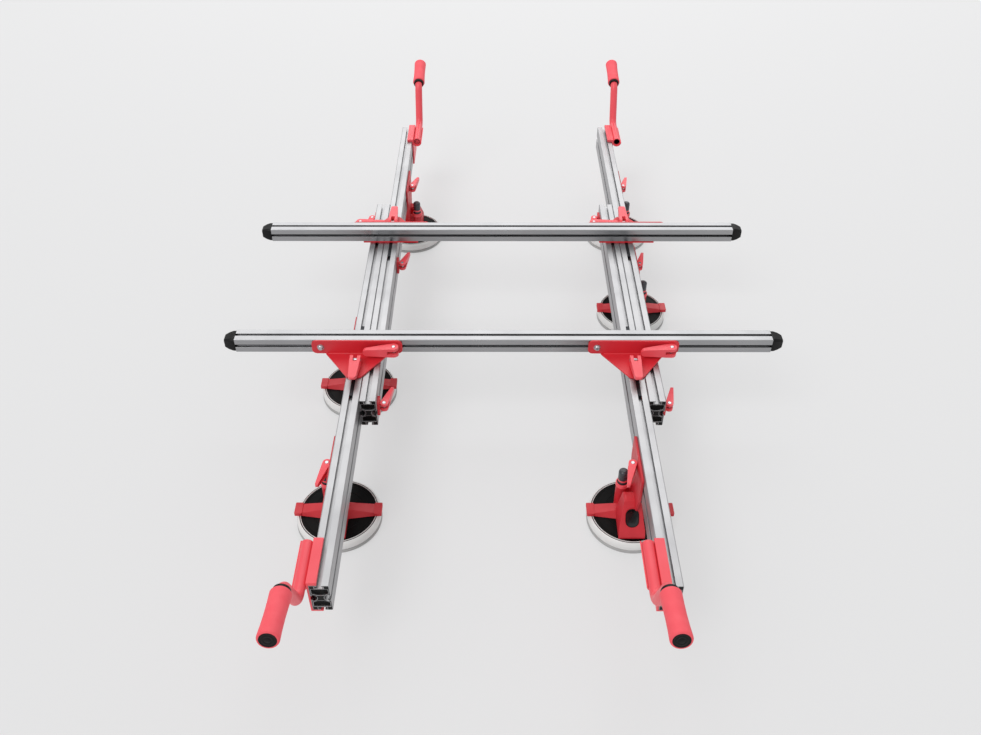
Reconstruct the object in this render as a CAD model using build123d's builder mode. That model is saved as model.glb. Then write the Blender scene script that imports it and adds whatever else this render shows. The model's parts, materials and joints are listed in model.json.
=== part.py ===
from build123d import *
import math
import os

os.makedirs("parts", exist_ok=True)

# Millimetres. The origin is at the plan centre on the surface that the suction pads grip,
# +X runs along the crossbars, +Y along the rails away from the front handles, +Z up.
# Half a turn about Z maps the tool onto itself, so every piece is drawn once for the
# front half, saved there, and saved again after that turn for the rear half.

# Layout
rail_length = 1380.0
rail_reach = 945.0
beam_spacing = 684.0
bar_length = 1330.0
bar_spacing = 490.0
outer_cup_spacing = 1200.0
inner_cup_spacing = 334.0
end_joiner_spacing = 818.0
inner_joiner_spacing = 336.0
rail_bottom = 148.0
running = 0.3

# Rail section: T-slots above and below, half-round grooves in both sides
rail_width = 40.0
rail_height = 80.0
rail_corner = 2.5
slot_mouth = 9.0
slot_lip = 2.6
slot_width = 18.0
slot_depth = 6.4
groove_mouth = 12.0
groove_lip = 3.0
groove_radius = 10.0
chamber_wall = 3.0
chamber_side = 14.0
chamber_height = 19.0
chamber_wide = 33.0
chamber_narrow = 12.0

# Crossbar section: a square bar with a T-slot in each face
bar_size = 40.0
bar_corner = 2.0
bar_slot_mouth = 8.2
bar_slot_lip = 4.0
bar_slot_width = 17.0
bar_slot_depth = 6.0
bar_core_bore = 8.0
cap_length = 28.0
cap_collar = 7.0
cap_tip_share = 0.62
cap_mid_share = 0.86
cap_facet = 5.0

# Cam levers, drawn about their pivot: arm along +X, clamped face towards -Y
barrel_diameter = 9.0
stud_diameter = 6.0
lever_wall = 2.6
fork_margin = 3.5
small_hub = 9.5
small_length = 62.0
small_height = 21.0
small_fork = 9.0
small_tip = 3.6
small_tip_height = 11.0
small_flare = 15.0
big_hub = 12.0
big_length = 76.0
big_height = 26.0
big_fork = 10.0
big_tip = 4.6
big_tip_height = 20.0
big_flare = 6.0
nut_length = 24.0
nut_slack = 0.5
seat_height = 40.0
seat_length = 30.0
seat_corner = 4.0

# Suction pad and the disc in its top
pad_radius = 100.0
pad_height = 30.0
pad_recess = 3.0
pad_seal_width = 13.0
pad_lip_height = 7.0
pad_waist = 2.5
pad_shoulder = 7.0
disc_radius = 88.0
disc_thickness = 6.0

# Cup carrier: yoke over the pad, side plate on the rail, pump housing and barrel
cup_offset = 26.0
plate_thickness = 5.0
plate_top_drop = 13.0
plate_half_length = 70.0
plate_band_rise = 2.0
plate_corner = 9.0
yoke_half_base = 29.0
yoke_half_end = 16.5
yoke_half_crest = 9.0
yoke_half_crest_end = 13.5
yoke_rise = 21.0
yoke_rise_end = 8.0
yoke_tab = 18.0
yoke_tab_rise = 9.5
yoke_overhang = 2.0
housing_width = 60.0
housing_shift = -5.0
housing_front = -81.0
housing_sill = 10.0
housing_crest = -34.0
housing_back = -6.0
housing_height = 80.0
housing_top_width = 36.0
housing_corner = 7.0
barrel_x = -22.0
barrel_y = 22.0
pump_outer = 28.0
pump_bore = 23.0
pump_height = 78.0
pump_floor = 20.0
pump_rib = 8.0
plunger_slack = 0.3
plunger_depth = 30.0
plunger_rise = 40.0
plunger_dome = 7.0
window_width = 31.0
window_length = 44.0
window_corner = 14.0
window_recess = 2.5
window_rise = 1.4

# Brackets that clamp the crossbars to the rails
sheet = 4.0
bracket_half_length = 112.0
bracket_corner = 12.0
wing_half_base = 79.0
wing_half_tip = 16.0
wing_reach = 92.0
wing_corner = 9.0
bar_stud_x = 92.0
bolt_x = -90.0
bolt_head = 15.0
bolt_rise = 6.0
bolt_shank = 8.0
bolt_taper = 25
rail_stud_y = 38.0
clamp_bar_front = 150.0
clamp_bar_back = 67.0
clamp_bar_slack = 0.4

# Handles on the outer ends of the rails
clamp_length = 109.0
clamp_side = 4.0
clamp_top = 8.0
clamp_bottom = 4.0
clamp_reach_top = 16.5
clamp_reach_bottom = 21.0
tube_diameter = 24.0
tube_inset = 6.0
cradle_wall = 3.0
tube_drop = 2.0
bend_start = 32.0
bend_run = 50.0
bend_rise = 118.0
bend_radius = 30.0
grip_run = 122.0
grip_rise = 27.0
grip_length = 108.0
grip_diameter = 40.0
grip_waist = 37.0
grip_round = 3.0
lug_size = 12.0
lug_length = 18.0
lug_inset = 20.0
lug_root = 2.2
lug_taper = 4

# Places worked out from the sizes above
rail_top = rail_bottom + rail_height
rail_mid = rail_bottom + rail_height / 2
rail_pitch = (rail_width + running) / 2
bar_bottom = rail_top + running + sheet + running
bar_mid = bar_bottom + bar_size / 2
left_rail_x = -beam_spacing / 2 - rail_pitch
right_rail_x = beam_spacing / 2 - rail_pitch
small_stand = running + plate_thickness + running + small_hub
big_stand = running + sheet + running + big_hub
tube_x = -rail_width / 2 - running - clamp_side - running - tube_diameter / 2
tube_z = rail_height / 2 - tube_drop
half_turn = Location((0, 0, 0), (0, 0, 180))


def save(part, label, place, turned_label):
    """Write a piece at its place in the front half and again in the rear half."""
    for name, where in ((label, place), (turned_label, half_turn * place)):
        piece = part.moved(where)
        piece.label = name
        export_step(piece, f"parts/{name}.step")
        print(name, [round(v, 1) for v in (*piece.bounding_box().min, *piece.bounding_box().max)])


def rail_sketch():
    """Closed outline of the rail with its slots, grooves and two tapered chambers."""
    with BuildSketch(Plane.XZ) as section:
        RectangleRounded(rail_width, rail_height, rail_corner)
        chamber_top = rail_height / 2 - slot_lip - slot_depth - chamber_wall
        for side in (1, -1):
            with Locations((0, side * (rail_height - slot_lip) / 2)):
                Rectangle(slot_mouth, slot_lip, mode=Mode.SUBTRACT)
            with Locations((0, side * (rail_height / 2 - slot_lip - slot_depth / 2))):
                Rectangle(slot_width, slot_depth, mode=Mode.SUBTRACT)
            with Locations((side * (rail_width - groove_lip) / 2, 0)):
                Rectangle(groove_lip, groove_mouth, mode=Mode.SUBTRACT)
            with BuildLine():
                edge = side * (rail_width / 2 - groove_lip)
                Line((edge, -groove_radius), (edge, groove_radius))
                ThreePointArc((edge, -groove_radius), (edge - side * groove_radius, 0), (edge, groove_radius))
            make_face(mode=Mode.SUBTRACT)
            with BuildLine():
                Polyline(
                    (-chamber_wide / 2, side * chamber_top),
                    (chamber_wide / 2, side * chamber_top),
                    (chamber_wide / 2, side * (chamber_top - chamber_side)),
                    (chamber_narrow / 2, side * (chamber_top - chamber_height)),
                    (-chamber_narrow / 2, side * (chamber_top - chamber_height)),
                    (-chamber_wide / 2, side * (chamber_top - chamber_side)),
                    close=True,
                )
            make_face(mode=Mode.SUBTRACT)
    return section.sketch


def make_rail(joiner_places):
    """Rail from its outer end at y = 0, drilled through the web at each joiner."""
    with BuildPart() as rail:
        with BuildSketch(Plane.XZ):
            add(rail_sketch())
        extrude(amount=-rail_length)
        with BuildSketch(Plane.YZ):
            with Locations(*[(y, 0) for y in joiner_places]):
                Circle(stud_diameter / 2 + running)
        extrude(amount=rail_width, both=True, mode=Mode.SUBTRACT)
    return rail.part


def make_groove_nut(centre):
    """Half-round nut in a side groove, its flat towards the lever; centre is its -Y distance."""
    radius = groove_radius - nut_slack
    with BuildPart() as nut:
        with BuildSketch(Plane.YZ):
            with BuildLine():
                Line((-centre, -radius), (-centre, radius))
                ThreePointArc((-centre, -radius), (-centre - radius, 0), (-centre, radius))
            make_face()
        extrude(amount=nut_length / 2, both=True)
    return nut.part


def make_stud(reach, barrel_height):
    """Cross barrel on the pivot with the threaded stud that runs from it along -Y."""
    with BuildPart() as stud:
        with BuildSketch():
            Circle(barrel_diameter / 2)
        extrude(amount=barrel_height / 2, both=True)
        with BuildSketch(Plane.XZ):
            Circle(stud_diameter / 2)
        extrude(amount=reach)
    return stud.part


def make_joiner(stand, through):
    """Stud, nut in the other rail's groove and the seat plate under one joiner lever."""
    nut_centre = stand + through + groove_lip + nut_slack
    with BuildPart() as clamp:
        add(make_stud(nut_centre + groove_radius / 2, small_height))
        add(make_groove_nut(nut_centre))
    with BuildPart() as seat:
        with BuildSketch(Plane.XZ.offset(stand - running - plate_thickness)):
            RectangleRounded(seat_length, seat_height, seat_corner)
            Circle(stud_diameter / 2 + running, mode=Mode.SUBTRACT)
        extrude(amount=plate_thickness)
    return [clamp.part, seat.part]


def make_lever(hub, length, height, fork, tip, tip_height, flare):
    """Forked cam lever: round cam about the pivot, arm tapering both ways, hollow beneath."""
    tip_x = length - tip
    pocket_start = hub + fork_margin + lever_wall
    pocket_end = tip_x - tip_height / 2
    back_slope = (flare + tip - hub) / tip_x
    with BuildPart() as lever:
        with BuildSketch():
            Circle(hub)
            with Locations((tip_x, flare)):
                Circle(tip)
            make_hull()
        extrude(amount=height / 2, both=True)
        with BuildSketch(Plane.XZ):
            with Locations((0, 0)):
                Rectangle(2 * hub, height)
            with Locations((length - tip_height / 2, 0)):
                Circle(tip_height / 2)
            make_hull()
        extrude(amount=length, both=True, mode=Mode.INTERSECT)
        with BuildSketch(Plane.XZ):
            with Locations((fork_margin / 2, 0)):
                Rectangle(2 * hub + fork_margin, fork)
        extrude(amount=length, both=True, mode=Mode.SUBTRACT)
        with BuildSketch():
            Circle(barrel_diameter / 2 + running)
        extrude(amount=height, both=True, mode=Mode.SUBTRACT)
        with BuildSketch():
            with BuildLine():
                Polyline(
                    (pocket_start, -hub),
                    (pocket_end, -hub),
                    (pocket_end, hub + back_slope * pocket_end - lever_wall),
                    (pocket_start, hub + back_slope * pocket_start - lever_wall),
                    close=True,
                )
            make_face()
        extrude(amount=tip_height / 2 - lever_wall, both=True, mode=Mode.SUBTRACT)
    return lever.part


def make_crossbar():
    """Square T-slot bar centred on the origin, drawn along X."""
    with BuildPart() as bar:
        with BuildSketch(Plane.YZ.offset(-bar_length / 2)):
            RectangleRounded(bar_size, bar_size, bar_corner)
            Circle(bar_core_bore / 2, mode=Mode.SUBTRACT)
            with PolarLocations((bar_size - bar_slot_lip) / 2, 4):
                Rectangle(bar_slot_lip, bar_slot_mouth, mode=Mode.SUBTRACT)
            with PolarLocations(bar_size / 2 - bar_slot_lip - bar_slot_depth / 2, 4):
                Rectangle(bar_slot_depth, bar_slot_width, mode=Mode.SUBTRACT)
        extrude(amount=bar_length)
    return bar.part


def make_bar_cap():
    """Faceted plastic plug on the +X end of a crossbar."""
    start = bar_length / 2
    with BuildPart() as cap:
        for offset, share, next_offset, next_share in (
            (0, 1, cap_collar, 1),
            (cap_collar, 1, cap_length * cap_tip_share, cap_mid_share),
            (cap_length * cap_tip_share, cap_mid_share, cap_length, cap_tip_share),
        ):
            for place, scale in ((offset, share), (next_offset, next_share)):
                with BuildSketch(Plane.YZ.offset(start + place)):
                    outline = Rectangle(bar_size * scale, bar_size * scale)
                    chamfer(outline.vertices(), cap_facet * scale)
            loft()
    return cap.part


def make_bracket():
    """Sheet bracket: upright plate on the bar's outer face, wing over the rail's top."""
    with BuildPart() as bracket:
        with BuildSketch(Plane.XZ.offset(bar_size / 2 + running)):
            with Locations((0, (bar_size + running) / 2)):
                RectangleRounded(2 * bracket_half_length, bar_size + running, bracket_corner)
            with Locations((bar_stud_x, running + bar_size / 2)):
                Circle(stud_diameter / 2 + running, mode=Mode.SUBTRACT)
            with Locations((bolt_x, running + bar_size / 2)):
                Circle(bolt_shank / 2 + running, mode=Mode.SUBTRACT)
        extrude(amount=sheet)
        with BuildSketch(Plane.XY):
            with BuildLine():
                front = -bar_size / 2 - running
                Polyline(
                    (-wing_half_base, bar_size / 2),
                    (-wing_half_base, front - sheet),
                    (-wing_half_tip, front - wing_reach),
                    (wing_half_tip, front - wing_reach),
                    (wing_half_base, front - sheet),
                    (wing_half_base, bar_size / 2),
                    close=True,
                )
            wing = make_face()
            fillet(wing.vertices().group_by(Axis.Y)[0], wing_corner)
            with Locations((0, front - sheet - rail_stud_y)):
                Circle(stud_diameter / 2 + running, mode=Mode.SUBTRACT)
        extrude(amount=-sheet)
    return bracket.part


def make_bracket_bolt():
    """Button-head bolt through the upright plate into a nut in the bar's slot."""
    face = bar_size / 2 + running + sheet
    with BuildPart() as bolt:
        with BuildSketch(Plane.XZ.offset(face)):
            with Locations((bolt_x, running + bar_size / 2)):
                Circle(bolt_head / 2)
        extrude(amount=bolt_rise, taper=bolt_taper)
        with BuildSketch(Plane.XZ.offset(face)):
            with Locations((bolt_x, running + bar_size / 2)):
                Circle(bolt_shank / 2)
        extrude(amount=-(face - bar_size / 2 + bar_slot_lip + bar_slot_depth / 2))
        with BuildSketch(Plane.XZ.offset(bar_size / 2 - bar_slot_lip - nut_slack)):
            with Locations((bolt_x, running + bar_size / 2)):
                Rectangle(nut_length, bar_slot_width - 2 * nut_slack)
        extrude(amount=-(bar_slot_depth - 2 * nut_slack))
    return bolt.part


def make_bar_stud():
    """Stud of the bar lever with its nut in the crossbar's slot, drawn about the pivot."""
    nut_face = big_stand + bar_slot_lip + nut_slack
    with BuildPart() as stud:
        add(make_stud(nut_face, big_height))
        with BuildSketch(Plane.XZ.offset(nut_face)):
            Rectangle(nut_length, bar_slot_width - 2 * nut_slack)
        extrude(amount=bar_slot_depth - 2 * nut_slack)
    return stud.part


def make_clamp_bar():
    """Steel T-bar in the rail's top slot, pulled up by the rail lever's stud."""
    top = -sheet - running - clamp_bar_slack
    start = -bar_size / 2 - clamp_bar_front
    length = clamp_bar_front + bar_size + clamp_bar_back
    neck = slot_lip - clamp_bar_slack
    head = slot_depth - 2 * clamp_bar_slack
    with BuildPart() as bar:
        with BuildSketch(Plane.XZ.offset(-start)):
            with Locations((0, top - neck / 2)):
                Rectangle(slot_mouth - 2 * clamp_bar_slack, neck)
            with Locations((0, top - neck - clamp_bar_slack - head / 2)):
                Rectangle(slot_width - 2 * clamp_bar_slack, head)
            with Locations((0, top - neck - clamp_bar_slack / 2)):
                Rectangle(slot_mouth - 2 * clamp_bar_slack, clamp_bar_slack)
        extrude(amount=-length)
        stud_y = -bar_size / 2 - running - sheet - rail_stud_y
        with BuildSketch(Plane.XY.offset(running + big_hub)):
            with Locations((0, stud_y)):
                Circle(stud_diameter / 2)
        extrude(amount=-big_hub - running - sheet - running - clamp_bar_slack - neck / 2)
        with BuildSketch(Plane.YZ):
            with Locations((stud_y, running + big_hub)):
                Circle(barrel_diameter / 2)
        extrude(amount=big_height / 2, both=True)
    return bar.part


def make_pad():
    """Rubber suction pad: flared sealing lip, waist, rounded shoulder, seat for the disc."""
    seat_radius = disc_radius + running
    seal_inner = pad_radius - pad_seal_width
    with BuildPart() as pad:
        with BuildSketch(Plane.XZ):
            with BuildLine():
                Polyline(
                    (0, pad_recess),
                    (seal_inner - pad_recess, pad_recess),
                    (seal_inner, 0),
                    (pad_radius, 0),
                    (pad_radius, pad_lip_height - pad_waist),
                    (pad_radius - pad_waist, pad_lip_height),
                    (pad_radius - pad_waist, pad_height - pad_shoulder),
                )
                RadiusArc(
                    (pad_radius - pad_waist, pad_height - pad_shoulder),
                    (pad_radius - pad_waist - pad_shoulder, pad_height),
                    -pad_shoulder,
                )
                Polyline(
                    (pad_radius - pad_waist - pad_shoulder, pad_height),
                    (seat_radius, pad_height),
                    (seat_radius, pad_height - disc_thickness),
                    (0, pad_height - disc_thickness),
                    (0, pad_recess),
                )
            make_face()
        revolve(axis=Axis.Z)
    return pad.part


def make_disc():
    """Stiff disc that seats in the pad's top and carries the yoke."""
    with BuildPart() as disc:
        with BuildSketch(Plane.XY.offset(pad_height - disc_thickness)):
            Circle(disc_radius)
        extrude(amount=disc_thickness)
    return disc.part


def make_yoke_half():
    """One arm of the yoke: a ridge that falls from the middle to the tab over the rim."""
    arm_end = pad_radius + yoke_overhang - yoke_tab
    with BuildPart() as arm:
        for place, half_base, half_crest, rise in (
            (0, yoke_half_base, yoke_half_crest, yoke_rise),
            (arm_end, yoke_half_end, yoke_half_crest_end, yoke_rise_end),
        ):
            with BuildSketch(Plane.YZ.offset(place)):
                with BuildLine():
                    Polyline(
                        (-half_base, pad_height),
                        (half_base, pad_height),
                        (half_crest, pad_height + rise),
                        (-half_crest, pad_height + rise),
                        close=True,
                    )
                make_face()
        loft()
        with BuildSketch(Plane.XY.offset(pad_height)):
            with Locations((arm_end + yoke_tab / 2, 0)):
                RectangleRounded(yoke_tab, 2 * yoke_half_end, yoke_overhang)
        extrude(amount=yoke_tab_rise)
    return arm.part


def make_housing():
    """Wedge-shaped pump housing: sloping front face, sides drawn in towards the top."""
    base = pad_height
    top = base + housing_height
    sill = base + housing_sill
    with BuildPart() as housing:
        with BuildSketch(Plane.YZ):
            with BuildLine():
                Polyline(
                    (housing_front, base),
                    (housing_front, sill),
                    (housing_crest, top),
                    (housing_back, top),
                    (housing_back, base),
                    close=True,
                )
            side = make_face()
            fillet(side.vertices().group_by(Axis.Y)[-1], housing_corner)
        extrude(amount=housing_width, both=True)
        with BuildSketch(Plane.XZ):
            with BuildLine():
                Polyline(
                    (housing_shift - housing_width / 2, base),
                    (housing_shift + housing_width / 2, base),
                    (housing_shift + housing_width / 2, sill + housing_sill),
                    (housing_shift + housing_top_width / 2, top),
                    (housing_shift - housing_top_width / 2, top),
                    (housing_shift - housing_width / 2, sill + housing_sill),
                    close=True,
                )
            front = make_face()
            fillet(front.vertices().group_by(Axis.Y)[-1], housing_corner)
        extrude(amount=pad_radius, both=True, mode=Mode.INTERSECT)
    return housing.part


def window_plane():
    """Plane on the middle of the housing's sloping face, its normal pointing out of it."""
    run = housing_crest - housing_front
    rise = housing_height - housing_sill
    middle = (housing_shift, housing_front + run / 2, pad_height + housing_sill + rise / 2)
    return Plane(origin=middle, x_dir=(1, 0, 0), z_dir=(0, -rise, run))


def make_carrier():
    """Cup carrier: side plate, yoke, pump housing and pump barrel in one casting."""
    plate_face = cup_offset - rail_width / 2 - running
    plate_top = rail_top - plate_top_drop
    with BuildPart() as carrier:
        add(make_yoke_half())
        add(make_yoke_half().mirror(Plane.YZ))
        add(make_housing())
        with BuildSketch(Plane.YZ.offset(plate_face)):
            with BuildLine():
                Polyline(
                    (-yoke_half_base, pad_height),
                    (yoke_half_base, pad_height),
                    (plate_half_length, rail_bottom + plate_band_rise),
                    (plate_half_length, plate_top),
                    (-plate_half_length, plate_top),
                    (-plate_half_length, rail_bottom + plate_band_rise),
                    close=True,
                )
            plate = make_face()
            fillet(plate.vertices().group_by(Axis.Y)[1:], plate_corner)
            with Locations((0, rail_mid)):
                Circle(stud_diameter / 2 + running, mode=Mode.SUBTRACT)
        extrude(amount=-plate_thickness)
        with BuildSketch(Plane.XY.offset(pad_height)):
            with Locations((barrel_x, barrel_y)):
                Circle(pump_outer / 2)
        extrude(amount=pump_height)
        with BuildSketch(Plane.XY.offset(pad_height)):
            with Locations(((barrel_x + plate_face - plate_thickness) / 2, barrel_y)):
                Rectangle(plate_face - plate_thickness - barrel_x, pump_rib)
        extrude(amount=pump_height - pump_rib)
        with BuildSketch(Plane.XY.offset(pad_height + pump_floor)):
            with Locations((barrel_x, barrel_y)):
                Circle(pump_bore / 2)
        extrude(amount=pump_height, mode=Mode.SUBTRACT)
        with BuildSketch(window_plane()):
            RectangleRounded(window_width, window_length, window_corner)
        extrude(amount=-window_recess, mode=Mode.SUBTRACT)
    return carrier.part


def make_window():
    """Oval sight window set in the housing's sloping face."""
    with BuildPart() as window:
        with BuildSketch(window_plane().offset(-window_recess)):
            RectangleRounded(
                window_width - 2 * running, window_length - 2 * running, window_corner - running
            )
        extrude(amount=window_recess + window_rise)
        fillet(window.faces().sort_by(Axis.Z)[-1].edges(), window_rise - running)
    return window.part


def make_plunger():
    """Pump plunger: a round rod with a domed head that slides in the pump barrel."""
    radius = pump_bore / 2 - plunger_slack
    head = pad_height + pump_height + plunger_rise
    foot = pad_height + pump_height - plunger_depth + plunger_slack
    with BuildPart() as plunger:
        with BuildSketch(Plane.XY.offset(foot)):
            with Locations((barrel_x, barrel_y)):
                Circle(radius)
        extrude(amount=head - foot)
        fillet(plunger.edges().group_by(Axis.Z)[-1], plunger_dome)
    return plunger.part


def make_cup_stud():
    """Stud of the carrier's lever with its nut in the rail's outer groove."""
    nut_centre = small_stand + groove_lip + nut_slack
    with BuildPart() as stud:
        add(make_stud(nut_centre + groove_radius / 2, small_height))
        add(make_groove_nut(nut_centre))
    return stud.part


def make_handle_clamp():
    """C-shaped clip on the rail's outer side with the cradle for the handle's tube."""
    inner = -rail_width / 2 - running
    top = rail_height / 2 + running
    with BuildPart() as clamp:
        with BuildSketch(Plane.XZ):
            with BuildLine():
                Polyline(
                    (inner - clamp_side, -top - clamp_bottom),
                    (inner + clamp_reach_bottom, -top - clamp_bottom),
                    (inner + clamp_reach_bottom, -top),
                    (inner, -top),
                    (inner, top),
                    (inner + clamp_reach_top, top),
                    (inner + clamp_reach_top, top + clamp_top),
                    (inner - clamp_side, top + clamp_top),
                    close=True,
                )
            make_face()
            with BuildLine():
                outer = tube_diameter / 2 + running + cradle_wall
                Line((tube_x - outer, tube_z), (tube_x + outer, tube_z))
                ThreePointArc((tube_x - outer, tube_z), (tube_x, tube_z - outer), (tube_x + outer, tube_z))
            make_face()
            with Locations((tube_x, tube_z)):
                Circle(tube_diameter / 2 + running, mode=Mode.SUBTRACT)
            Rectangle(rail_width + 2 * running, rail_height + 2 * running, mode=Mode.SUBTRACT)
        extrude(amount=-clamp_length)
        with BuildSketch(Plane.XY.offset(tube_z - outer + lug_root)):
            with Locations((tube_x, lug_inset)):
                Rectangle(lug_size, lug_size)
        extrude(amount=-lug_length - lug_root, taper=lug_taper)
    return clamp.part


def make_handle_tube():
    """Bent tube: straight in the cradle, up past the rail's end, level again in the grip."""
    knee = (tube_x, -bend_start, tube_z)
    elbow = (tube_x, -bend_start - bend_run, tube_z + bend_rise)
    end = (tube_x, elbow[1] - grip_run, elbow[2] + grip_rise)
    with BuildPart() as tube:
        with BuildLine() as route:
            FilletPolyline((tube_x, clamp_length - tube_inset, tube_z), knee, elbow, end, radius=bend_radius)
        with BuildSketch(Plane(origin=(tube_x, clamp_length - tube_inset, tube_z), z_dir=(0, -1, 0))):
            Circle(tube_diameter / 2)
        sweep()
    return tube.part


def make_grip():
    """Rubber grip with a slight waist, bored for the tube it is pushed on."""
    elbow = (tube_x, -bend_start - bend_run, tube_z + bend_rise)
    slope = Vector(0, -grip_run, grip_rise).normalized()
    start = Vector(*elbow) + slope * (math.hypot(grip_run, grip_rise) - grip_length)
    axis_plane = Plane(origin=tuple(start), x_dir=(1, 0, 0), z_dir=tuple(slope))
    bore = tube_diameter / 2
    with BuildPart(axis_plane) as grip:
        with BuildSketch(Plane(origin=axis_plane.origin, x_dir=axis_plane.x_dir, z_dir=-axis_plane.y_dir)):
            with BuildLine():
                Polyline(
                    (bore, 0),
                    (grip_diameter / 2 - grip_round, 0),
                    (grip_diameter / 2, grip_round),
                )
                ThreePointArc(
                    (grip_diameter / 2, grip_round),
                    (grip_waist / 2, grip_length / 2),
                    (grip_diameter / 2, grip_length - grip_round),
                )
                Polyline(
                    (grip_diameter / 2, grip_length - grip_round),
                    (grip_diameter / 2 - grip_round, grip_length),
                    (bore, grip_length),
                    (bore, 0),
                )
            make_face()
        revolve(axis=Axis(axis_plane.origin, axis_plane.z_dir))
    return grip.part


def group(pieces):
    """Separate solids that share one node."""
    return Compound([solid for piece in pieces for solid in piece.solids()])


# Rails, with the studs, nuts and seats of the joiners that each one carries
end_joiner_y = end_joiner_spacing / 2
inner_joiner_y = -inner_joiner_spacing / 2
side_turn = Plane((0, 0, 0), x_dir=(0, -1, 0), z_dir=(0, 0, -1)).location
rail_layout = (
    ("left", left_rail_x, (end_joiner_y,), "right"),
    ("right", right_rail_x, (inner_joiner_y, end_joiner_y), "left"),
)
small_lever = make_lever(
    small_hub, small_length, small_height, small_fork, small_tip, small_tip_height, small_flare
)
big_lever = make_lever(big_hub, big_length, big_height, big_fork, big_tip, big_tip_height, big_flare)
joiner = make_joiner(small_stand, rail_width + running)
side_pivot_x = -rail_width / 2 - small_stand
joiner_names = {end_joiner_y: "end", inner_joiner_y: "inner"}
for side, rail_x, joiner_ys, turned_side in rail_layout:
    rail_place = Location((rail_x, -rail_reach, rail_mid))
    local_ys = [y + rail_reach for y in joiner_ys]
    pieces = [make_rail(local_ys)]
    for y in local_ys:
        pieces += [piece.moved(Location((side_pivot_x, y, 0)) * side_turn) for piece in joiner]
    save(group(pieces), f"{side}_front_rail", rail_place, f"{turned_side}_rear_rail")
    for y in joiner_ys:
        lever_place = Location((rail_x + side_pivot_x, y, rail_mid)) * side_turn
        label = joiner_names[y]
        save(
            small_lever,
            f"{side}_front_{label}_joiner_lever",
            lever_place,
            f"{turned_side}_rear_{label}_joiner_lever",
        )

# Suction cups: carrier with stud and window, pad with disc, plunger and lever
carrier = make_carrier()
window = make_window()
cup_stud = make_cup_stud()
pad = group([make_pad(), make_disc()])
plunger = make_plunger()
outer_cup_y = -outer_cup_spacing / 2
inner_cup_y = -inner_cup_spacing / 2
cup_layout = (
    ("left_front_outer", left_rail_x, outer_cup_y, "right_rear_outer"),
    ("left_front_inner", left_rail_x, inner_cup_y, "right_rear_inner"),
    ("right_front_outer", right_rail_x, outer_cup_y, "left_rear_outer"),
)
cup_pivot = Location((cup_offset + side_pivot_x, 0, rail_mid)) * side_turn
carrier_set = group([carrier, window, cup_stud.moved(cup_pivot)])
for name, rail_x, y, turned_name in cup_layout:
    cup_place = Location((rail_x - cup_offset, y, 0))
    save(carrier_set, f"{name}_cup_carrier", cup_place, f"{turned_name}_cup_carrier")
    save(pad, f"{name}_suction_pad", cup_place, f"{turned_name}_suction_pad")
    save(plunger, f"{name}_pump_plunger", cup_place, f"{turned_name}_pump_plunger")
    save(small_lever, f"{name}_cup_lever", cup_place * cup_pivot, f"{turned_name}_cup_lever")

# Crossbars with their end plugs
bar_y = -bar_spacing / 2
bar_place = Location((0, bar_y, bar_mid))
bar_cap = make_bar_cap()
save(make_crossbar(), "front_crossbar", bar_place, "rear_crossbar")
bar_caps = group([bar_cap, bar_cap.mirror(Plane.YZ)])
save(bar_caps, "front_crossbar_plugs", bar_place, "rear_crossbar_plugs")

# Brackets, each with a lever to the bar and a lever to the rail
bar_pivot = Plane(
    (bar_stud_x, -bar_size / 2 - big_stand, running + bar_size / 2), x_dir=(-1, 0, 0), z_dir=(0, 0, 1)
).location
rail_pivot = Plane(
    (0, -bar_size / 2 - running - sheet - rail_stud_y, running + big_hub), x_dir=(0, -1, 0), z_dir=(-1, 0, 0)
).location
bracket_set = group([make_bracket(), make_bracket_bolt(), make_bar_stud().moved(bar_pivot), make_clamp_bar()])
for side, rail_x, turned_side in (("left", left_rail_x, "right"), ("right", right_rail_x, "left")):
    bracket_place = Location((rail_x, bar_y, rail_top + running + sheet))
    save(bracket_set, f"{side}_front_bracket", bracket_place, f"{turned_side}_rear_bracket")
    save(
        big_lever,
        f"{side}_front_bar_lever",
        bracket_place * bar_pivot,
        f"{turned_side}_rear_bar_lever",
    )
    save(
        big_lever,
        f"{side}_front_rail_lever",
        bracket_place * rail_pivot,
        f"{turned_side}_rear_rail_lever",
    )

# Handles and their clamps
handle_clamp = make_handle_clamp()
handle = group([make_handle_tube(), make_grip()])
for side, rail_x, turned_side in (("left", left_rail_x, "right"), ("right", right_rail_x, "left")):
    handle_place = Location((rail_x, -rail_reach, rail_mid))
    save(handle_clamp, f"{side}_front_handle_clamp", handle_place, f"{turned_side}_rear_handle_clamp")
    save(handle, f"{side}_front_handle", handle_place, f"{turned_side}_rear_handle")
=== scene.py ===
import json
import math

import bmesh
import bpy
from mathutils import Matrix, Vector


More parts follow.
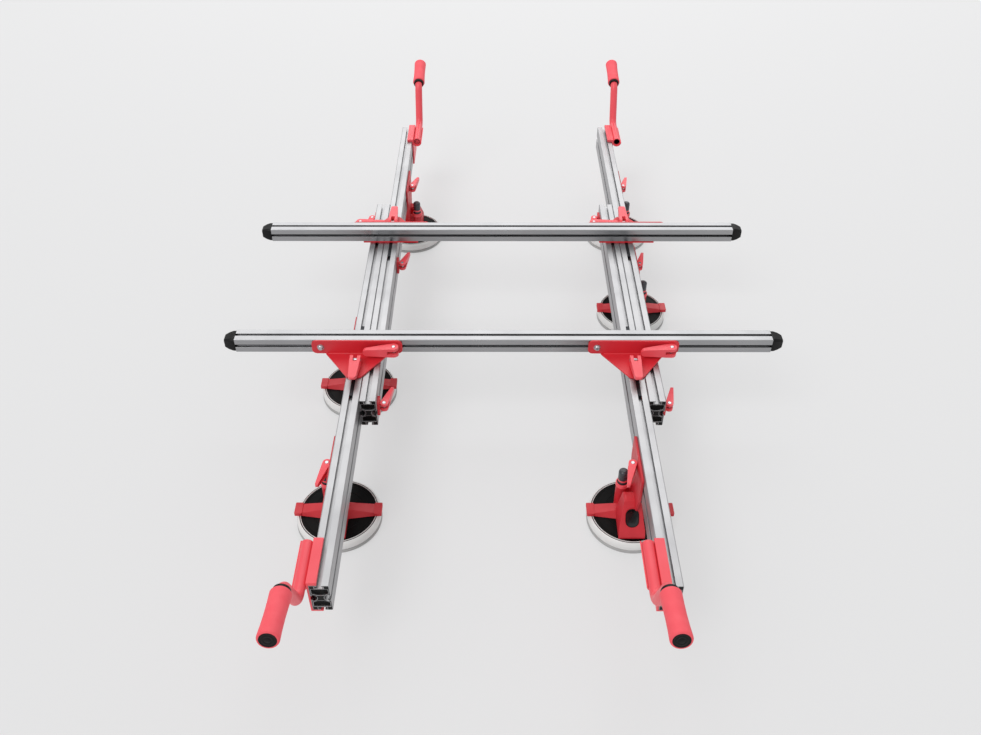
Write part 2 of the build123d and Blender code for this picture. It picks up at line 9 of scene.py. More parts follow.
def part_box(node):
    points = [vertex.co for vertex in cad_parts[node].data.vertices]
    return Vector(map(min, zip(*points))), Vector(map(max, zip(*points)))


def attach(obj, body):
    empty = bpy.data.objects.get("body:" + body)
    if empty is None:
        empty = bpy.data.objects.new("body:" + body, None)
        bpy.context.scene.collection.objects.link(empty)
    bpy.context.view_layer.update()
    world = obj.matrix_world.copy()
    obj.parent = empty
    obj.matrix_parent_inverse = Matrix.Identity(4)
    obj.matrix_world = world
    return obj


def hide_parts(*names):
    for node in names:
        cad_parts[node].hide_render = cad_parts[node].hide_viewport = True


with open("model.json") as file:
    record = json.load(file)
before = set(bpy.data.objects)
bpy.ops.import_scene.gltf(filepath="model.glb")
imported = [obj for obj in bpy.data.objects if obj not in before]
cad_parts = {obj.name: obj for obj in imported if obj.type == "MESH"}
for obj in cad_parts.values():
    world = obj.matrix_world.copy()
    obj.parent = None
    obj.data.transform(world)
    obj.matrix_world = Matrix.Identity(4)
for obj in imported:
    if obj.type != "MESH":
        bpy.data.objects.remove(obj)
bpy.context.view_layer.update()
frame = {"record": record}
mm = 0.001
touching = 0.01  # millimetres within which two points or two planes count as one
sharpAngle = math.radians(35)  # faces that meet at more than this have a sharp edge between them
halfTurn = Matrix.Rotation(math.pi, 4, "Z")

# places of the front half in millimetres; the rear half is the same after half a turn about Z
layout = {
    "railX": {"left": -362.15, "right": 321.85},
    "railReach": 945,
    "railMid": 188,
    "cupOffset": -26,
    "cupY": {"outer": -600, "inner": -167},
    "joinerY": {"end": 409, "inner": -168},
    "sidePivot": -35.1,
    "barY": -245,
    "bracketZ": 232.3,
    "tubeX": -36.6,
    "tubeZ": 38,
}
turned = {"left": "right", "right": "left"}


def linearColour(hexText):
    parts = [int(hexText[i : i + 2], 16) / 255 for i in (1, 3, 5)]
    return tuple(c / 12.92 if c <= 0.04045 else ((c + 0.055) / 1.055) ** 2.4 for c in parts) + (1,)


def addNode(tree, kind, settings=None, links=None):
    node = tree.nodes.new(kind)
    for key, value in (settings or {}).items():
        setattr(node, key, value)
    for key, value in (links or {}).items():
        if isinstance(value, bpy.types.NodeSocket):
            tree.links.new(value, node.inputs[key])
        else:
            node.inputs[key].default_value = value
    return node


# each finish: two colours that drift into each other over "patch" millimetres, the range of its roughness,
# the size of its surface grain along X, Y and Z, and the height of that grain, both in millimetres
finishes = {
    # natural anodised extrusion: bright satin with fine die lines along the length
    "anodisedRail": {
        "colours": ("#B0B0B1", "#A5A5A7"), "patch": 90, "metallic": 1, "rough": (0.34, 0.46),
        "grain": (1.4, 420, 1.4), "height": 0.02,
    },
    # the same of the crossbars: a smoother, darker anodising
    "anodisedCrossbar": {
        "colours": ("#A8A8AA", "#9E9FA1"), "patch": 90, "metallic": 1, "rough": (0.26, 0.36),
        "grain": (420, 1.4, 1.4), "height": 0.02,
    },
    # powder coat on steel sheet: soft gloss, slight orange peel
    "redPowderCoat": {
        "colours": ("#DF2F3B", "#D62834"), "patch": 60, "metallic": 0, "rough": (0.36, 0.48),
        "grain": (2.2, 2.2, 2.2), "height": 0.035,
    },
    # the same coat, lighter, on the handles and their clamps
    "coralPowderCoat": {
        "colours": ("#FA5A64", "#F2505B"), "patch": 60, "metallic": 0, "rough": (0.34, 0.46),
        "grain": (2.2, 2.2, 2.2), "height": 0.03,
    },
    # painted die casting of the cup carriers: deeper and a little uneven
    "redCasting": {
        "colours": ("#D92B37", "#C4222F"), "patch": 25, "metallic": 0, "rough": (0.38, 0.52),
        "grain": (1.6, 1.6, 1.6), "height": 0.06,
    },
    # moulded glass-filled nylon of the cam levers: lighter and smoother
    "redNylon": {
        "colours": ("#FB5C66", "#F2525C"), "patch": 30, "metallic": 0, "rough": (0.33, 0.42),
        "grain": (1.2, 1.2, 1.2), "height": 0.02,
    },
    # soft foam sleeve of the grips: matt, pebbled, drawn coarser than real so that it shows
    "redFoam": {
        "colours": ("#FF606B", "#F85661"), "patch": 20, "metallic": 0, "rough": (0.6, 0.74),
        "grain": (2.4, 2.4, 2.4), "height": 0.12,
    },
    # silicone rubber of the pads: off-white with a faint bloom
    "paleRubber": {
        "colours": ("#EEEEEC", "#E5E5E3"), "patch": 45, "metallic": 0, "rough": (0.3, 0.42),
        "grain": (2, 2, 2), "height": 0.03,
    },
    # grey rubber of the sealing lip under the pad, duller: its darker grey is painted shade for the shaded
    # lower wall of the pad
    "greyRubber": {
        "colours": ("#B4B4B3", "#A8A8A7"), "patch": 45, "metallic": 0, "rough": (0.4, 0.55),
        "grain": (2, 2, 2), "height": 0.03,
    },
    # moulded disc in the pad: near black with a soft sheen
    "blackRubber": {
        "colours": ("#0A0A0A", "#060606"), "patch": 30, "metallic": 0, "rough": (0.34, 0.46),
        "grain": (1.8, 1.8, 1.8), "height": 0.04, "specular": 0.08,
    },
    # injection-moulded polyamide of end plugs, caps and collars: fine spark-eroded texture
    "blackPolyamide": {
        "colours": ("#101011", "#0A0A0B"), "patch": 18, "metallic": 0, "rough": (0.38, 0.52),
        "grain": (1.5, 1.5, 1.5), "height": 0.08, "specular": 0.18,
    },
    # smooth ABS of the pump plungers: dark grey with a clear highlight
    "greyAbs": {
        "colours": ("#3D4046", "#33363B"), "patch": 15, "metallic": 0, "rough": (0.22, 0.32),
        "grain": (2, 2, 2), "height": 0.01,
    },
    # polished polycarbonate of the sight windows: near black and glossy
    "smokedPolycarbonate": {
        "colours": ("#0B0B0D", "#08080A"), "patch": 12, "metallic": 0, "rough": (0.05, 0.09),
        "grain": (6, 6, 6), "height": 0.005,
    },
    # blackened steel of the sliding clamp bars: dark, a little oily
    "blackenedSteel": {
        "colours": ("#3A3B3E", "#2C2D30"), "patch": 20, "metallic": 1, "rough": (0.34, 0.5),
        "grain": (1.4, 30, 1.4), "height": 0.02,
    },
    # zinc-plated steel of pins, studs and bolts: pale, with small bright highlights
    "zincPlate": {
        "colours": ("#C3C6C9", "#AEB2B6"), "patch": 8, "metallic": 1, "rough": (0.2, 0.32),
        "grain": (1.2, 1.2, 1.2), "height": 0.01,
    },
}
cloudRange = (0.3, 0.7)  # where the drifting pattern lies for most of a surface


def makeFinish(name, look):
    material = bpy.data.materials.new(name)
    material.use_nodes = True
    tree = material.node_tree
    shader = tree.nodes["Principled BSDF"]
    place = addNode(tree, "ShaderNodeTexCoord").outputs["Object"]
    cloudScale = 1 / (look["patch"] * mm)
    cloud = addNode(tree, "ShaderNodeTexNoise", None, {"Vector": place, "Scale": cloudScale, "Detail": 3})
    shares = cloud.outputs[0]
    first, second = (linearColour(colour) for colour in look["colours"])
    colour = addNode(tree, "ShaderNodeMix", {"data_type": "RGBA"}, {0: shares, 6: first, 7: second})
    tree.links.new(colour.outputs[2], shader.inputs["Base Color"])
    smooth, rough = look["rough"]
    low, high = cloudRange
    reach = {"Value": shares, "From Min": low, "From Max": high, "To Min": smooth, "To Max": rough}
    roughness = addNode(tree, "ShaderNodeMapRange", None, reach)
    tree.links.new(roughness.outputs[0], shader.inputs["Roughness"])
    shader.inputs["Metallic"].default_value = look["metallic"]
    shader.inputs["Specular IOR Level"].default_value = look.get("specular", 0.5)
    grainScale = tuple(1 / (size * mm) for size in look["grain"])
    stretched = addNode(tree, "ShaderNodeMapping", None, {"Vector": place, "Scale": grainScale})
    along = stretched.outputs[0]
    grain = addNode(tree, "ShaderNodeTexNoise", None, {"Vector": along, "Scale": 1, "Detail": 2})
    relief = {"Height": grain.outputs[0], "Distance": look["height"] * mm, "Strength": 1}
    bump = addNode(tree, "ShaderNodeBump", None, relief)
    tree.links.new(bump.outputs[0], shader.inputs["Normal"])
    return material


finish = {name: makeFinish(name, look) for name, look in finishes.items()}
print("finishes:", len(finish))

# for each kind of node its finish, its material slot, the radius in millimetres that wear, casting or
# coating leaves on its edges, and the angle in degrees below which neighbouring faces count as flat
nodeLooks = (
    ("_rail", "anodisedRail", "anodised_rail", 0.35, 1),
    ("_crossbar", "anodisedCrossbar", "anodised_rail", 0.45, 1),
    ("_plugs", "blackPolyamide", "black_plastic", 0.9, 1),
    ("_bracket", "redPowderCoat", "red_coat", 0.5, 1),
    ("_lever", "redNylon", "red_coat", 0.3, 1),
    ("_cup_carrier", "redCasting", "red_coat", 0.5, 1),
    ("_suction_pad", "paleRubber", "pad_rubber", 0, 0),
    ("_pump_plunger", "greyAbs", "plunger_grey", 0, 0),
    ("_handle_clamp", "coralPowderCoat", "red_coat", 0.8, 1),
    ("_handle", "coralPowderCoat", "red_coat", 0, 0),
)
nodeLook = {}
for node in [o for o in bpy.data.objects if o.type == "MESH"]:
    for ending, finishName, slotName, radius, flat in nodeLooks:
        if node.name.endswith(ending):
            node.data.materials.clear()
            node.data.materials.append(finish[finishName])
            nodeLook[node.name] = (slotName, radius, flat)
            break
    else:
        print("no finish for", node.name)
print("frame dressed")


def startEdit():
    bpy.ops.object.mode_set(mode="EDIT")
    bpy.ops.mesh.select_all(action="SELECT")


def endEdit():
    bpy.ops.object.mode_set(mode="OBJECT")


def chooseOnly(piece):
    bpy.ops.object.select_all(action="DESELECT")
    bpy.context.view_layer.objects.active = piece
    piece.select_set(True)


def pickFaces(piece, keep):
    # selects in edit mode the faces for which keep(centre, normal) is true, in millimetres
    mesh = bmesh.from_edit_mesh(piece.data)
    for face in mesh.faces:
        face.select_set(keep(face.calc_center_median() / mm, face.normal))
    mesh.select_flush(True)
    bmesh.update_edit_mesh(piece.data)


def finishPiece(piece, name, finishName):
    startEdit()
    bpy.ops.mesh.remove_doubles(threshold=touching * mm)
    bpy.ops.mesh.normals_make_consistent(inside=False)
    endEdit()
    bpy.ops.object.transform_apply(location=True, rotation=True, scale=True)
    bpy.ops.object.shade_smooth_by_angle(angle=sharpAngle)
    piece.name = name
    piece.data.materials.clear()
    piece.data.materials.append(finish[finishName])
    return piece


def turnPiece(name, profile, finishName, steps=72):
    # a vertex is drawn along the profile (radius, height) and spun about Z, as on a lathe
    bpy.ops.object.select_all(action="DESELECT")
    bpy.ops.mesh.primitive_plane_add(size=mm, location=(0, 0, 0))
    piece = bpy.context.object
    startEdit()
    bpy.ops.mesh.merge(type="CENTER")
    bpy.ops.transform.translate(value=(profile[0][0] * mm, 0, profile[0][1] * mm))
    for (radius, height), (nextRadius, nextHeight) in zip(profile, profile[1:]):
        step = ((nextRadius - radius) * mm, 0, (nextHeight - height) * mm)
        bpy.ops.mesh.extrude_region_move(TRANSFORM_OT_translate={"value": step})
    bpy.ops.mesh.select_all(action="SELECT")
    bpy.ops.mesh.spin(steps=steps, angle=2 * math.pi, center=(0, 0, 0), axis=(0, 0, 1))
    bpy.ops.mesh.select_all(action="SELECT")
    endEdit()
    return finishPiece(piece, name, finishName)


def roundedSlab(name, size, finishName, segments=6):
    # a plate with rounded corners, its top edge softened
    bpy.ops.object.select_all(action="DESELECT")
    bpy.ops.mesh.primitive_plane_add(size=mm, location=(0, 0, 0))
    piece = bpy.context.object
    startEdit()
    bpy.ops.transform.resize(value=(size["width"], size["length"], 1))
    bpy.ops.transform.translate(value=(0, 0, size["bottom"] * mm))
    corner = size["corner"] * mm
    bpy.ops.mesh.bevel(offset=corner, segments=segments, affect="VERTICES", clamp_overlap=False)
    rise = (0, 0, (size["top"] - size["bottom"]) * mm)
    bpy.ops.mesh.extrude_region_move(TRANSFORM_OT_translate={"value": rise})
    pickFaces(piece, lambda centre, normal: abs(centre.z - size["top"]) < touching and abs(normal.z) > 0.5)
    bpy.ops.mesh.bevel(offset=size["edge"] * mm, segments=4, profile=0.6, affect="EDGES")
    endEdit()
    return finishPiece(piece, name, finishName)


def placeCopy(source, name, matrix):
    piece = source.copy()
    piece.data = source.data.copy()
    piece.name = name
    bpy.context.collection.objects.link(piece)
    piece.data.transform(matrix)
    piece.data.update()
    return piece


def mountCopy(source, name, matrix, body):
    piece = placeCopy(source, name, matrix)
    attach(piece, body)
    return piece


def axesPlace(origin, xAxis, zAxis):
    xAxis, zAxis = Vector(xAxis).normalized(), Vector(zAxis).normalized()
    turn = Matrix((xAxis, zAxis.cross(xAxis), zAxis)).transposed().to_4x4()
    return Matrix.Translation(Vector(origin) * mm) @ turn


def bothHalves(frontSide, tail, place):
    # the same piece in the front half and, half a turn on, in the rear half
    return ((f"{frontSide}_front_{tail}", place), (f"{turned[frontSide]}_rear_{tail}", halfTurn @ place))


def quarterOf(label):
    # left_front of left_front_grip_cap
    return "_".join(label.split("_")[:2])


cupPlaces = []
for side, rank in (("left", "outer"), ("left", "inner"), ("right", "outer")):
    centre = (layout["railX"][side] + layout["cupOffset"], layout["cupY"][rank], 0)
    cupPlaces += bothHalves(side, rank, Matrix.Translation(Vector(centre) * mm))

# profiles from the middle outwards, as (radius, height)
pad = {
    "lip": [
        (0, 3), (84, 3), (87, 0.5), (88, 0), (98.4, 0), (99.7, 0.6), (100, 1.8), (100, 3.6), (99.2, 5.2),
        (97.2, 6.2), (96.1, 7), (0, 7),
    ],
    "body": [
        (0, 6.8), (95.4, 6.8), (96.1, 7.4), (96.9, 8.4), (98.3, 9.6), (98.8, 11.6), (98.8, 18.6),
        (98.2, 22.4), (96.9, 25.8), (95.2, 28), (93.6, 29.4), (92.6, 29.8), (92.1, 29.4), (92, 28),
        (90.1, 28), (90, 29.9), (89.6, 30.4), (88.8, 30.4), (88.4, 29.9), (88.3, 26), (0, 26),
    ],
    "seam": [(90.05, 27.9), (91.95, 27.9), (91.95, 28.9), (90.05, 28.9), (90.05, 27.9)],
    "disc": [
        (0, 25.9), (88.2, 25.9), (88.2, 29), (87.6, 29.6), (82.2, 29.7), (81.6, 29.1), (79.8, 29.1),
        (79.2, 29.7), (60, 30.05), (59.4, 29.5), (57.8, 29.5), (57.2, 30.05), (0, 30.05),
    ],
    "steps": 96,
}
padBody = turnPiece("padBody", pad["body"], "paleRubber", pad["steps"])
# the lip in a darker grey: painted shade on the lower wall of the pad
padLip = turnPiece("padLip", pad["lip"], "greyRubber", pad["steps"])
padSeam = turnPiece("padSeam", pad["seam"], "blackPolyamide", pad["steps"])
padDisc = turnPiece("padDisc", pad["disc"], "blackRubber", pad["steps"])
for cup, place in cupPlaces:
    for source, tail, slotName in (
        (padBody, "padRubber", "pad_rubber"),
        (padLip, "padLip", "pad_rubber"),
        (padSeam, "padSeam", "black_plastic"),
        (padDisc, "padDisc", "black_plastic"),
    ):
        piece = mountCopy(source, f"{cup}_{tail}", place, f"{cup}_cup")
        if source is padBody:
            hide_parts(f"{cup}_suction_pad")
print("suction pads")

pump = {
    "collar": [
        (11.7, 98), (14.2, 98), (15.2, 99), (15.2, 107.6), (14.4, 109), (12.6, 109.4), (11.8, 109),
        (11.7, 98),
    ],
    "wiper": [(11.35, 106), (12.4, 106), (12.6, 109.8), (12, 110.6), (11.4, 110.2), (11.35, 106)],
    "band": [(11, 116), (11.3, 116.1), (11.38, 116.4), (11.38, 120.6), (11.3, 120.9), (11, 121)],
    "barrel": (-22, 22, 0),
    "steps": 48,
}
pumpPlace = Matrix.Translation(Vector(pump["barrel"]) * mm)
pumpCollar = turnPiece("pumpCollar", pump["collar"], "redNylon", pump["steps"])
pumpWiper = turnPiece("pumpWiper", pump["wiper"], "blackRubber", pump["steps"])
pumpBand = turnPiece("pumpBand", pump["band"], "redNylon", pump["steps"])
window = {
    "bezel": {"width": 30.2, "length": 43.2, "corner": 14, "bottom": -0.4, "top": 1.5, "edge": 0.7},
    "lens": {"width": 26.4, "length": 39.4, "corner": 12.4, "bottom": 0.2, "top": 3.1, "edge": 1.5},
    "middle": (-5, -57.5, 75),
    "normal": (0, -70, 47),
}
windowBezel = roundedSlab("windowBezel", window["bezel"], "blackPolyamide")
windowLens = roundedSlab("windowLens", window["lens"], "smokedPolycarbonate")
windowPlace = axesPlace(window["middle"], (1, 0, 0), window["normal"])
for cup, place in cupPlaces:
    for source, tail, where, body, slotName in (
        (pumpCollar, "pumpCollar", pumpPlace, "cup", "red_coat"),
        (pumpWiper, "pumpWiper", pumpPlace, "cup", "black_plastic"),
        (pumpBand, "pumpBand", pumpPlace, "pump", "red_coat"),
        (windowBezel, "windowBezel", windowPlace, "cup", "black_plastic"),
        (windowLens, "windowLens", windowPlace, "cup", "black_plastic"),
    ):
        mountCopy(source, f"{cup}_{tail}", place @ where, f"{cup}_{body}")
print("pumps and windows")

# the sawn ends of the rails: black sheets on the end faces, drawn in from the outlines, are painted shade,
# so that the section is dark between the thin bright edges of its walls;
# black blocks a little way in the two long hollows are painted shade there too
railEndShade = {
    "wall": 1.1,
    "proud": 0.12,
    "block": {"width": 33.4, "length": 19.4, "corner": 2, "bottom": -0.5, "top": 0.5, "edge": 0.2},
    "hollowMid": 18.5,
    "depth": 4,
}


def paintEndShade(rail, name, limit):
    # a black copy of the end face at Y = limit, drawn in from its outline and lifted off by a hair: a sheet
    # of painted shade
    piece = placeCopy(rail, name, Matrix.Identity(4))
    chooseOnly(piece)
    startEdit()
    pickFaces(piece, lambda centre, normal: abs(centre.y - limit) > touching or abs(normal.y) < 0.9)
    bpy.ops.mesh.delete(type="FACE")
    bpy.ops.mesh.select_all(action="SELECT")
    bpy.ops.mesh.remove_doubles(threshold=touching * mm)
    bpy.ops.mesh.select_mode(type="FACE")
    bpy.ops.mesh.inset(thickness=railEndShade["wall"] * mm, use_boundary=True, use_even_offset=True)
    bpy.ops.mesh.select_all(action="INVERT")
    bpy.ops.mesh.delete(type="FACE")
    bpy.ops.mesh.select_mode(type="VERT")
    bpy.ops.mesh.select_all(action="SELECT")
    bpy.ops.transform.translate(value=(0, math.copysign(railEndShade["proud"], limit) * mm, 0))
    endEdit()
    piece.data.materials.clear()
    piece.data.materials.append(finish["blackPolyamide"])
    return piece


# black blocks a little way in the rail hollows: painted shade for their dark insides
hollowBlock = roundedSlab("hollowBlock", railEndShade["block"], "blackRubber", 3)
for side in ("left", "right"):
    for rank in ("front", "rear"):
        rail = bpy.data.objects[f"{side}_{rank}_rail"]
        railX = layout["railX"][side] if rank == "front" else -layout["railX"][turned[side]]
        reach = [corner.co.y / mm for corner in rail.data.vertices]
        for label, limit in (("outer", min(reach)), ("inner", max(reach))):
            # a black sheet of painted shade on each end face
            piece = paintEndShade(rail, f"{side}_{rank}_{label}_end", limit)
            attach(piece, f"{side}_{rank}_rail_body")
            outward = (0, math.copysign(1, limit), 0)
            depth = limit - math.copysign(railEndShade["depth"], limit)
            # two black blocks in the hollows, painted shade
            for level, rise in (("upper", railEndShade["hollowMid"]), ("lower", -railEndShade["hollowMid"])):
                name = f"{side}_{rank}_{label}_{level}_hollow"
                place = axesPlace((railX, depth, layout["railMid"] + rise), (1, 0, 0), outward)
                mountCopy(hollowBlock, name, place, f"{side}_{rank}_rail_body")
print("rail ends")


def weighOutsideEdges(piece):
    # only sharp outside edges get a weight, so that no bore or slot becomes narrower
    mesh = bmesh.from_edit_mesh(piece.data)
    weight = mesh.edges.layers.float.new("bevel_weight_edge")
    for edge in mesh.edges:
        if edge.is_manifold and edge.is_convex and edge.calc_face_angle() > sharpAngle:
            edge[weight] = 1
    bmesh.update_edit_mesh(piece.data)


def roundEdges(piece, radius, flat):
    chooseOnly(piece)
    startEdit()
    bpy.ops.mesh.remove_doubles(threshold=touching * mm)
    bpy.ops.mesh.dissolve_limited(angle_limit=math.radians(flat))
    weighOutsideEdges(piece)
    endEdit()
    rounding = piece.modifiers.new("rounding", "BEVEL")
    rounding.width = radius * mm
    rounding.segments = 3
    rounding.limit_method = "WEIGHT"
    rounding.miter_outer = "MITER_ARC"
    rounding.use_clamp_overlap = False
    bpy.ops.object.modifier_apply(modifier="rounding")
    bpy.ops.object.shade_smooth_by_angle(angle=sharpAngle)
    # large faces keep their own normal, so that they stay flat to the eye
    flatness = piece.modifiers.new("flatness", "WEIGHTED_NORMAL")
    flatness.weight = 100
    flatness.keep_sharp = True
    bpy.ops.object.modifier_apply(modifier="flatness")


# a copy of each hard node with its edges rounded stands for the node, so that they catch the light
bodies = frame["record"]["behaviour"]["bodies"]
bodyOfNode = {nodeName: body for body, nodeNames in bodies.items() for nodeName in nodeNames}
for nodeName, (slotName, radius, flat) in nodeLook.items():
    if radius:
        piece = placeCopy(bpy.data.objects[nodeName], f"{nodeName}_softened", Matrix.Identity(4))
        roundEdges(piece, radius, flat)
        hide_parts(nodeName)
        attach(piece, bodyOfNode[nodeName])
print("edges rounded")

pin = {
    "small": {"height": 21.6, "reach": 15.2},
    "big": {"height": 26.6, "reach": 16.5},
    "radius": 4.62,
    "chamfer": 0.8,
    "stud": 3.15,
    "threadDepth": 0.35,
    "crest": 0.1,  # where in each turn of one millimetre the thread is full and where it is cut down
    "root": 0.6,
    "steps": {"barrel": 32, "stud": 24},
}


def makePin(name, size):
    # cross barrel along Z with the threaded stud leaving it along -Y
    half, radius, chamfer = size["height"] / 2, pin["radius"], pin["chamfer"]
    outline = [(0, -half), (radius - chamfer, -half), (radius, chamfer - half)]
    outline += [(radius, half - chamfer), (radius - chamfer, half), (0, half)]
    barrel = turnPiece(name + "Barrel", outline, "zincPlate", pin["steps"]["barrel"])
    full, cut = pin["stud"], pin["stud"] - pin["threadDepth"]
    threads = [(0, 0)]
    for turn in range(int(size["reach"])):
        threads += [(full, turn + pin["crest"]), (cut, turn + pin["root"])]
    threads += [(0, size["reach"])]
    stud = turnPiece(name + "Stud", threads, "zincPlate", pin["steps"]["stud"])
    stud.data.transform(Matrix.Rotation(math.pi / 2, 4, "X"))
    bpy.ops.object.select_all(action="DESELECT")
    stud.select_set(True)
    barrel.select_set(True)
    bpy.context.view_layer.objects.active = barrel
    bpy.ops.object.join()
    barrel.name = name
    return barrel


seat = {
    "plate": {"width": 30.4, "length": 40.4, "corner": 4.2, "bottom": -0.14, "top": 5.14, "edge": 0.8},
    "offset": -20.3,
}
smallPin = makePin("smallPin", pin["small"])
bigPin = makePin("bigPin", pin["big"])
seatPlate = roundedSlab("seatPlate", seat["plate"], "redPowderCoat")
for side, ranks in (("left", ("end",)), ("right", ("inner", "end"))):
    for rank in ranks:
        for source, tail, offset, xAxis, zAxis, slotName in (
            (smallPin, "pin", layout["sidePivot"], (0, -1, 0), (0, 0, -1), "anodised_rail"),
            (seatPlate, "seat", seat["offset"], (0, 1, 0), (-1, 0, 0), "red_coat"),
        ):
            origin = (layout["railX"][side] + offset, layout["joinerY"][rank], layout["railMid"])
            for label, place in bothHalves(side, f"{rank}_joiner_{tail}", axesPlace(origin, xAxis, zAxis)):
                mountCopy(source, label, place, quarterOf(label) + "_rail_body")
cupPin = (layout["sidePivot"] - layout["cupOffset"], 0, layout["railMid"])
for cup, place in cupPlaces:
    where = place @ axesPlace(cupPin, (0, -1, 0), (0, 0, -1))
    mountCopy(smallPin, f"{cup}_pin", where, f"{cup}_cup")
print("cam pins")

bracket = {
    "barPin": (92, -36.6, 20.3),
    "railPin": (0, -62.3, 12.3),
    "bolt": (-90, -24.3, 20.3),
    "boltHead": [
        (0, -0.2), (8.6, -0.2), (8.6, 0.9), (7.6, 1.2), (7.5, 1.5), (7.3, 3.3), (6.4, 5), (5.2, 6.1),
        (4.4, 6.4), (3.4, 6.4), (3.1, 6.3), (2.9, 6.1), (0, 6.1),
    ],
    "fold": [(0, -74), (2.4, -73), (2.4, 73), (0, 74)],
    "foldCorner": (0, -24.5, -0.4),
    "clampBar": {"width": 8.5, "length": 258.6, "corner": 0.6, "bottom": -12.7, "top": -4.55, "edge": 0.3},
    "clampBarMiddle": (0, -41.5, 0),
    "steps": {"boltHead": 48, "fold": 16},
}
boltHead = turnPiece("boltHead", bracket["boltHead"], "zincPlate", bracket["steps"]["boltHead"])
# rounded inside of the fold between the upright plate and the wing
foldBead = turnPiece("foldBead", bracket["fold"], "redPowderCoat", bracket["steps"]["fold"])
clampBar = roundedSlab("clampBar", bracket["clampBar"], "blackenedSteel", 3)
for side in ("left", "right"):
    origin = Vector((layout["railX"][side], layout["barY"], layout["bracketZ"]))
    for source, tail, spot, xAxis, zAxis, slotName in (
        (bigPin, "bar_pin", bracket["barPin"], (-1, 0, 0), (0, 0, 1), "anodised_rail"),
        (bigPin, "rail_pin", bracket["railPin"], (0, -1, 0), (-1, 0, 0), "anodised_rail"),
        (boltHead, "bolt_head", bracket["bolt"], (1, 0, 0), (0, -1, 0), "anodised_rail"),
        (foldBead, "fold_bead", bracket["foldCorner"], (0, 1, 0), (1, 0, 0), "red_coat"),
        (clampBar, "clamp_bar", bracket["clampBarMiddle"], (1, 0, 0), (0, 0, 1), "anodised_rail"),
    ):
        for label, place in bothHalves(side, tail, axesPlace(origin + Vector(spot), xAxis, zAxis)):
            # the left brackets belong to their crossbar's body, the right ones slide on it
            rank = label.split("_")[1]
            body = f"{rank}_crossbar_body" if label.startswith("left") else f"right_{rank}_bracket_body"
            mountCopy(source, label, place, body)
print("bracket fastenings")

grip = {
    "elbow": (layout["tubeX"], -82, layout["tubeZ"] + 118),
    "along": (0, -122, 27),
    "length": 108,
    "sleeve": [
        (12.5, -0.4), (17.4, -0.4), (19.2, 0.4), (20.2, 2), (20.3, 4), (19.9, 12), (19.3, 28), (18.9, 54),
        (19.3, 80), (19.9, 96), (20.2, 102.4), (20, 105.2), (19.1, 107), (17.6, 107.8), (16.2, 108),
        (16, 107.4), (16, 106), (12.5, 106), (12.5, -0.4),
    ],
    "cap": [
        (0, 105.5), (15.9, 105.5), (15.9, 108.1), (15.2, 108.3), (12.6, 108.4), (12.2, 108.15),
        (11.2, 108.15), (10.8, 108.4), (7.4, 108.45), (7, 108.2), (6, 108.2), (5.6, 108.45), (0, 108.5),
    ],
    "collar": [(12.15, -9), (15.6, -9), (16.6, -8), (17, -1.2), (17, 0.2), (12.15, 0.2), (12.15, -9)],
    "bung": [(0, -1), (9.7, -1), (9.7, 0.1), (9.4, 0.3), (8.6, 0.3), (8.2, 0), (0, 0)],
    "steps": {"grip": 64, "bung": 48},
}
gripAlong = Vector(grip["along"])
gripStart = Vector(grip["elbow"]) + gripAlong.normalized() * (gripAlong.length - grip["length"])
sleeve = turnPiece("sleeve", grip["sleeve"], "redFoam", grip["steps"]["grip"])
gripCap = turnPiece("gripCap", grip["cap"], "blackPolyamide", grip["steps"]["grip"])
gripCollar = turnPiece("gripCollar", grip["collar"], "blackPolyamide", grip["steps"]["grip"])
tubeBung = turnPiece("tubeBung", grip["bung"], "blackPolyamide", grip["steps"]["bung"])
for side in ("left", "right"):
    sawnEnd = Vector((layout["railX"][side], -layout["railReach"], layout["railMid"]))
    gripPlace = axesPlace(sawnEnd + gripStart, (1, 0, 0), gripAlong)
    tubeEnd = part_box(f"{side}_front_handle")[1][1] / mm
    tubeStart = (layout["railX"][side] + layout["tubeX"], tubeEnd, layout["railMid"] + layout["tubeZ"])
    bungPlace = axesPlace(tubeStart, (1, 0, 0), (0, 1, 0))
    for source, tail, where, slotName in (
        (sleeve, "grip_sleeve", gripPlace, "red_coat"),
        (gripCap, "grip_cap", gripPlace, "black_plastic"),
        (gripCollar, "grip_collar", gripPlace, "black_plastic"),
        (tubeBung, "tube_bung", bungPlace, "black_plastic"),
    ):
        for label, place in bothHalves(side, tail, where):
            mountCopy(source, label, place, quarterOf(label) + "_handle_body")
print("handles")

for source in (
    padBody, padLip, padSeam, padDisc, pumpCollar, pumpWiper, pumpBand, windowBezel, windowLens, hollowBlock,
    smallPin, bigPin, seatPlate, boltHead, foldBead, clampBar, sleeve, gripCap, gripCollar, tubeBung,
):
    bpy.data.objects.remove(source)

# lengths in metres, angles in degrees
studio = {
    "floor": "#E3E3E4",
    "floorSize": 40,
    "floorDrop": 0.0005,
    "floorRoughness": 0.9,
    "backdrop": "#E9E9E9",
    "backdropShare": 0.55,  # how much of the floor that the eye sees is the even backdrop colour
    "world": "#F5F5F6",
    "worldStrength": 0.58,
    "key": {"direction": (-0.5, -0.55, 1), "angle": 36, "strength": 1.05},
    "sheen": {"place": (0.1, 5.2, 4.6), "size": 7, "power": 205},
    "camera": {
        "place": (-0.0295, -1.9743, 1.7201), "pitch": 40.136, "turn": 0.0802, "shift": -0.03,
        "focalPixels": 909.4, "wide": 981, "sensor": 36,
    },
}


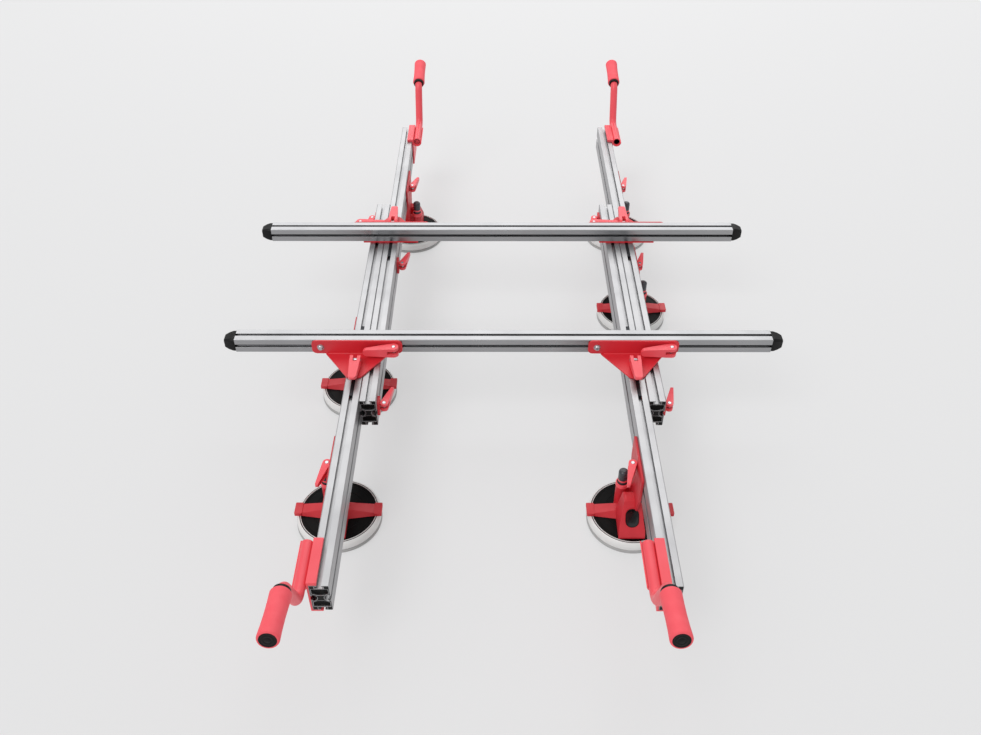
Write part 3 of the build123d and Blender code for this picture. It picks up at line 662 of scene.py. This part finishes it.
def seenShare(tree, share):
    # the share for what the eye sees, straight, mirrored or through glass, and zero for other light
    path = addNode(tree, "ShaderNodeLightPath").outputs
    seen = path["Is Camera Ray"]
    for ray in ("Is Glossy Ray", "Is Transmission Ray"):
        seen = addNode(tree, "ShaderNodeMath", {"operation": "MAXIMUM"}, {0: seen, 1: path[ray]}).outputs[0]
    return addNode(tree, "ShaderNodeMath", {"operation": "MULTIPLY"}, {0: seen, 1: share}).outputs[0]


def mixShaders(tree, share, lit, plain, end):
    mixed = addNode(tree, "ShaderNodeMixShader", None, {0: seenShare(tree, share), 1: lit, 2: plain})
    tree.links.new(mixed.outputs[0], tree.nodes[end].inputs["Surface"])


backdrop = {"Color": linearColour(studio["backdrop"]), "Strength": 1}
bpy.ops.object.select_all(action="DESELECT")
bpy.ops.mesh.primitive_plane_add(size=studio["floorSize"], location=(0, 0, -studio["floorDrop"]))
floor = bpy.context.object
floor.name = "floor"
floorPaint = bpy.data.materials.new("mattFloor")
floorPaint.use_nodes = True
floorTree = floorPaint.node_tree
floorShader = floorTree.nodes["Principled BSDF"]
floorShader.inputs["Base Color"].default_value = linearColour(studio["floor"])
floorShader.inputs["Roughness"].default_value = studio["floorRoughness"]
floorGlow = addNode(floorTree, "ShaderNodeEmission", None, backdrop)
lit, plain = floorShader.outputs[0], floorGlow.outputs[0]
mixShaders(floorTree, studio["backdropShare"], lit, plain, "Material Output")
floor.data.materials.append(floorPaint)

world = bpy.data.worlds.new("paleStudio")
bpy.context.scene.world = world
world.use_nodes = True
worldTree = world.node_tree
ambient = worldTree.nodes["Background"]
ambient.inputs["Color"].default_value = linearColour(studio["world"])
ambient.inputs["Strength"].default_value = studio["worldStrength"]
distance = addNode(worldTree, "ShaderNodeBackground", None, backdrop)
mixShaders(worldTree, 1, ambient.outputs[0], distance.outputs[0], "World Output")

key, sheen = studio["key"], studio["sheen"]
bpy.ops.object.light_add(type="SUN", location=key["direction"])
keyLight = bpy.context.object
keyLight.name = "key"
keyLight.data.angle = math.radians(key["angle"])
keyLight.data.energy = key["strength"]
keyLight.rotation_euler = (-Vector(key["direction"])).to_track_quat("-Z", "Y").to_euler()
bpy.ops.object.light_add(type="AREA", location=sheen["place"])
sheenLight = bpy.context.object
sheenLight.name = "sheen"
sheenLight.data.size = sheen["size"]
sheenLight.data.energy = sheen["power"]
sheenLight.rotation_euler = (-Vector(sheen["place"])).to_track_quat("-Z", "Y").to_euler()

view = studio["camera"]
aim = (math.radians(90 - view["pitch"]), 0, math.radians(view["turn"]))
bpy.ops.object.camera_add(location=view["place"], rotation=aim)
camera = bpy.context.object
camera.data.sensor_width = view["sensor"]
camera.data.lens = view["sensor"] * view["focalPixels"] / view["wide"]
camera.data.shift_y = view["shift"]
bpy.context.scene.camera = camera
bpy.context.scene.view_settings.view_transform = "Standard"
print("studio")
